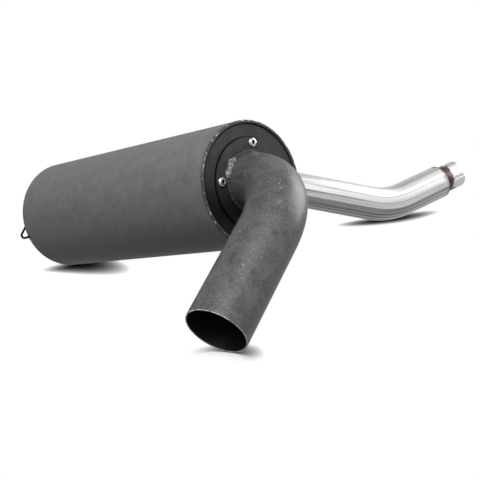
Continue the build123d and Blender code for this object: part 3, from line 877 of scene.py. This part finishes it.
def spark_screen(finish):
    """The arrestor's screen: a thin tube with staggered rows of round holes."""
    x0, x1 = FLANGE_BACK - SCREEN_LENGTH, FLANGE_BACK
    low, high = x0 + SCREEN_PLAIN_INSIDE, FLANGE_FACE - SCREEN_PLAIN_OUTSIDE
    rows = int((high - low) // SCREEN_PITCH)
    first = (low + high - rows * SCREEN_PITCH) / 2
    turned = pi / SCREEN_HOLES_ROUND
    belts = [(first + row * SCREEN_PITCH, row % 2 * turned) for row in range(rows + 1)]
    patches = pierced_tube(
        x0, x1, SCREEN_R, SCREEN_R - SCREEN_WALL, SCREEN_HOLE_R, belts,
        tiles=SCREEN_HOLES_ROUND, half_height=SCREEN_PITCH / 2, side=6,
        pierced=set(range(SCREEN_HOLES_ROUND)),
    )
    piece("spark_screen", patches, finish, "outlet", "inner_steel", "arrestor_screen")


# ---------------------------------------------------------------- inlet
stub_axis = direction(0, cos(INLET_RISE), sin(INLET_RISE))
stub_centre = place((INLET_X, 0, 0))
stub_across = np.cross(stub_axis, axis_x)
pipe_end = mouth - sleeve_axis * SLEEVE_OUTSIDE


def inlet_pipe(finish):
    """A circle carried along three straight runs and two bends. The wall goes out along the outside,
    over the end and back along the bore."""
    corners = np.array(
        [
            stub_centre + stub_axis * (CANISTER_R - INLET_INSIDE),
            stub_centre + stub_axis * (CANISTER_R + INLET_STUB),
            pipe_end - sleeve_axis * INLET_END_RUN,
            pipe_end,
        ]
    )
    points, tangents, run = rounded_route(corners, INLET_BEND_R, 0.003)
    sides = carried_sides(tangents, axis_x)
    turn = angles(ROUND)
    grids, lays = [], []
    for r, order in ((INLET_R, slice(None)), (INLET_R - INLET_WALL, slice(None, None, -1))):
        grids.append(ring_along(points, tangents, sides, r, turn)[order])
        lays.append(around(turn, r, run[:, None])[order])
    patches = [patch(np.concatenate(grids), np.concatenate(lays), closed_rows=True)]
    piece("drawn_inlet_pipe", patches, finish, "canister", "bare_steel", "inlet_pipe")


def saddle_weld(finish):
    """The bead where the pipe meets the shell. At the distance q from the pipe's axis and the radius s
    from the canister's, a point lies q cos t along, q sin t across and sqrt(s^2 - (q sin t)^2) out."""
    turn = angles(360)
    section = np.linspace(0, pi / 2, 12)[:, None]
    ripple = 0.5 + 0.5 * np.sin(44 * turn + 2.0 * section + np.sin(5 * turn))
    rough = 1 - 0.18 * ripple - 0.05 * np.clip(wobble(turn, (5, 13, 37), 9), -1, 2)
    q = INLET_R + SADDLE_WELD_WIDTH * np.cos(section) ** 0.8 * rough
    s = CANISTER_R + SADDLE_WELD_HEIGHT * np.sin(section) ** 0.8 * rough
    low_q = np.array([INLET_R - SINK, INLET_R - SINK])[:, None] + 0 * turn
    low_s = np.array([CANISTER_R + SADDLE_WELD_HEIGHT * 0.8, CANISTER_R - SINK])[:, None] + 0 * turn
    q, s = np.concatenate([q, low_q]), np.concatenate([s, low_s])
    out = np.sqrt(s**2 - (q * np.sin(turn)) ** 2)
    q, t, out = (v[..., None] for v in np.broadcast_arrays(q, turn, out))
    grid = stub_centre + q * (np.cos(t) * axis_x + np.sin(t) * stub_across) + out * stub_axis
    patches = [patch(grid, closed_rows=True)]
    piece("saddle_weld_bead", patches, finish, "canister", "bare_weld", "inlet_weld", crease=70)


def sleeve_sides():
    """Two directions square to the sleeve's axis."""
    side = unit(np.cross(sleeve_axis, np.array([0.0, 0.0, 1.0])))
    return side, np.cross(sleeve_axis, side)


def sleeve_ring(run, r, turn):
    """Points round the sleeve's axis, the run back from its mouth."""
    side, across = sleeve_sides()
    run, r, turn = (v[..., None] for v in np.broadcast_arrays(run, r, turn))
    return mouth - sleeve_axis * run + r * (np.cos(turn) * side + np.sin(turn) * across)


def slip_sleeve(finish):
    """A tube slit from its mouth: a sheet over the turn and the run, outside and inside, with the
    cells of the slots left out and walls where a cell meets a slot or the mouth."""
    half = np.arcsin(SLOT_WIDTH / 2 / SLEEVE_R)
    quarter = np.linspace(half, 2 * pi / SLOT_COUNT - half, 25)
    length = SLEEVE_OUTSIDE + SLEEVE_INSIDE
    patches = []

    whole = np.linspace(SLOT_LENGTH, length, 12)
    slit = np.concatenate([[0.0], np.linspace(SLEEVE_LIP, SLOT_LENGTH, 10)])
    starts = SLOT_TURN + np.arange(SLOT_COUNT) * 2 * pi / SLOT_COUNT
    full = (starts[:, None] + np.concatenate([[-half], quarter[:-1]])[None, :]).ravel()
    for r in (SLEEVE_R, SLEEVE_R - SLEEVE_WALL):
        grid = sleeve_ring(whole[:, None], r, full[None, :])
        patches.append(patch(grid, around(full[None, :], r, whole[:, None])))
    ends = np.array([SLEEVE_R, SLEEVE_R - SLEEVE_WALL])[:, None]
    patches.append(patch(sleeve_ring(length, ends, full[None, :]), around(full[None, :], ends, length)))
    shrink = np.where(slit < SLEEVE_LIP, SLEEVE_LIP * 0.6, 0)
    for start in starts:
        turn = start + quarter
        rows = np.concatenate([slit[::-1], slit])
        r = np.concatenate([(SLEEVE_R - shrink)[::-1], SLEEVE_R - SLEEVE_WALL + shrink])
        grid = sleeve_ring(rows[:, None], r[:, None], turn[None, :])
        lay = around(turn[None, :], r[:, None], rows[:, None])
        patches.append(patch(grid, lay, closed_columns=False))
        for side in (0, -1):
            cut = np.stack([grid[: len(slit), side][::-1], grid[len(slit):, side]])
            patches.append(patch(cut, closed_columns=False))
        gap = start + np.array([-half, half])
        patches.append(patch(sleeve_ring(SLOT_LENGTH, ends, gap[None, :]), closed_columns=False))
    piece("slit_sleeve", patches, finish, "canister", "sleeve_steel", "slip_sleeve")


def sleeve_weld(finish):
    """The bead round the sleeve on the pipe's end: a quarter-round section, rippled round."""
    turn = angles(240)
    section = np.linspace(0, pi / 2, 10)[:, None]
    ripple = 0.5 + 0.5 * np.sin(38 * turn + 1.8 * section + np.sin(4 * turn))
    rough = 1 - 0.22 * ripple - 0.06 * np.clip(wobble(turn, (3, 11, 29), 4), -1, 2)
    r = SLEEVE_R + SLEEVE_WELD * np.cos(section) * rough
    out = SLEEVE_WELD * np.sin(section) * rough
    r = np.concatenate([r, np.full((2, 1), SLEEVE_R - SINK) + 0 * turn])
    out = np.concatenate([out, np.array([[SLEEVE_WELD * 0.7], [0.0]]) + 0 * turn])
    patches = [patch(sleeve_ring(SLEEVE_OUTSIDE - out, r, turn), closed_rows=True)]
    piece("sleeve_weld_bead", patches, finish, "canister", "bare_weld", "sleeve_weld", crease=70)


# ---------------------------------------------------------------- studio
def pale_floor():
    """A pale floor that darkens only where something stands close over it. Nothing mirrors it."""
    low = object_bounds()[0].z
    mesh = bpy.data.meshes.new("studio_floor")
    corners = [(FLOOR_HALF * x, FLOOR_HALF * y, low) for x, y in ((-1, -1), (1, -1), (1, 1), (-1, 1))]
    mesh.from_pydata(corners, [], [(0, 1, 2, 3)])
    floor = bpy.data.objects.new("studio_floor", mesh)
    bpy.context.scene.collection.objects.link(floor)
    material = bpy.data.materials.new("pale_floor")
    material.use_nodes = True
    material.node_tree.nodes.clear()
    shade = Shading(material.node_tree)
    near = shade.node("AmbientOcclusion", {"samples": 24}, {"Distance": SHADOW_REACH}, out="AO")
    glow = shade.node("Emission", None, {"Color": near**SHADOW_DEPTH, "Strength": 1.0})
    shade.node("OutputMaterial", None, {"Surface": glow})
    mesh.materials.append(material)
    floor.visible_diffuse = False
    floor.visible_glossy = False
    floor.visible_shadow = False
    floor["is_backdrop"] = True


def room_light():
    """White walls, whose light on the object falls off below its level. What uncoated steel mirrors is
    the same room with a dark line at the horizon and a pale floor under it. The stops are heights from
    straight down at 0 to straight up at 1, each with its grey."""
    world = bpy.data.worlds.new("studio")
    bpy.context.scene.world = world
    world.use_nodes = True
    world.node_tree.nodes.clear()
    room = Shading(world.node_tree)
    height = room.split(room.node("TexCoord", out="Generated"), 2) * 0.5 + 0.5

    def walls(*stops):
        colours = room.ramp(height, [(at, grey(light)) for at, light in stops])
        return room.node("Background", None, {"Color": colours})

    def either(ray, first, second):
        share = room.node("LightPath", out=ray)
        return room.node("MixShader", None, {0: share, 1: first, 2: second})

    soft = walls((0, 0.05), (0.38, 0.10), (0.51, 0.62), (0.66, 0.84), (1, 0.62))
    mirrored = walls(
        (0, 0.22), (0.28, 0.68), (0.41, 0.58), (0.46, 0.08),
        (0.52, 0.40), (0.66, 0.66), (0.85, 0.40), (1, 0.30),
    )
    seen = room.node("Background", None, {"Color": (1, 1, 1, 1)})
    lighting = either("Is Glossy Ray", soft, mirrored)
    room.node("OutputWorld", None, {"Surface": either("Is Camera Ray", lighting, seen)})


def softbox(name, toward, distance, width, height, watts):
    """An area light that stands off from the object's middle in a direction and faces it."""
    light = bpy.data.lights.new(name, "AREA")
    light.shape, light.size, light.size_y = "RECTANGLE", width, height
    light.energy = watts
    lamp = bpy.data.objects.new(name, light)
    bpy.context.scene.collection.objects.link(lamp)
    away = Vector(toward).normalized()
    lamp.location = middle + away * distance
    lamp.rotation_mode = "QUATERNION"
    lamp.rotation_quaternion = away.to_track_quat("Z", "Y")


def camera(azimuth, elevation, roll, lens, distance, aside, above):
    """A camera by its angles. Distance, aside and above are its place from the object's middle."""
    az, el, turn = radians(azimuth), radians(elevation), radians(roll)
    back = Vector((sin(az) * cos(el), -cos(az) * cos(el), sin(el)))
    level = Vector((cos(az), sin(az), 0))
    upright = back.cross(level)
    right = level * cos(turn) + upright * sin(turn)
    up = back.cross(right)
    lens_data = bpy.data.cameras.new("camera")
    lens_data.lens, lens_data.sensor_width = lens, 36.0
    made = bpy.data.objects.new("camera", lens_data)
    bpy.context.scene.collection.objects.link(made)
    matrix = Matrix((right, up, back)).transposed().to_4x4()
    matrix.translation = middle + back * distance + right * aside + up * above
    made.matrix_world = matrix
    bpy.context.scene.camera = made
    return right, up, back


middle = (cad_box[0] + cad_box[1]) / 2
camera_right, camera_up, camera_back = camera(
    azimuth=48.60, elevation=11.08, roll=-4.19, lens=75.23, distance=1.3230, aside=-0.0810, above=-0.0796
)

# ---------------------------------------------------------------- making it
charcoal = coat("charcoal_coat", dark=0.080, light=0.107, gloss=0.2)
# The plate coat is a far darker copy of the charcoal coat: painted shade over the outlet flange, which is
# also painted darker towards the bottom.
shaded_plate_coat = coat("shaded_plate_coat", dark=0.020, light=0.030, rough=0.46, gloss=0.15, shaded_below=True)
sheet = sheet_steel("sooted_sheet")
bare_inside = sheet_steel("inner_sheet", soot=0.25)

canister_shell(charcoal)
dished_end(charcoal)
rolled_rim(chipped_coat("rim_coat"))
wire_loop(coat("wire_coat", dark=0.001, light=0.002, rough=0.8, gloss=0.04))
outlet_elbow(tip_coat("elbow_coat"))
foot_weld(coated_weld("coated_weld"))
button_screws(plated_steel("bright_screw"))
spark_screen(sheet)
inlet_pipe(drawn_steel("drawn_steel", tint=0.7, ends=(0.529, 0.551)))
saddle_weld(burnt_weld("burnt_weld"))
# The sleeve's shade of 0.75 lifts all its bands close to white: bright steel with a painted highlight.
slip_sleeve(drawn_steel("slit_sleeve_steel", tint=1.0, ends=(0.008, 0.034), shade=0.75))
sleeve_weld(burnt_weld("sleeve_burnt_weld"))

carried_finishes = {
    # The end plate's coat: a far darker copy of the charcoal coat as painted shade, painted darker
    # towards the bottom, and painted near black in the corners at the flange's edge and inside the rim.
    "end_plate": coat(
        "end_plate_coat", dark=0.020, light=0.030, rough=0.46, gloss=0.15,
        shaded_below=True, rings=(FLANGE_R, RIM_INNER_R),
    ),
    "outlet_flange": shaded_plate_coat,
    "gasket": graphite_sheet("graphite_gasket"),
    "weld_nuts": bare_inside,
    "core_collar": bare_inside,
    "bulkhead": bare_inside,
    "core_tube": bare_inside,
    "packing": fibre_wool("fibre_packing"),
    "mouth_ring": bare_inside,
    "arrestor_collar": sheet,
    "arrestor_cap": sheet,
}
for node, finish in carried_finishes.items():
    frame["nodes"][node].data.materials.clear()
    frame["nodes"][node].data.materials.append(finish)

pale_floor()
room_light()
softbox("key", camera_up * 0.62 + camera_back * 0.95 - camera_right * 0.1, 2.0, 2.0, 1.3, 46)
softbox("right_rim", camera_right * 0.95 + camera_up * 0.6 - camera_back * 0.4, 1.3, 1.0, 1.0, 15)
bpy.context.scene.view_settings.view_transform = "Standard"
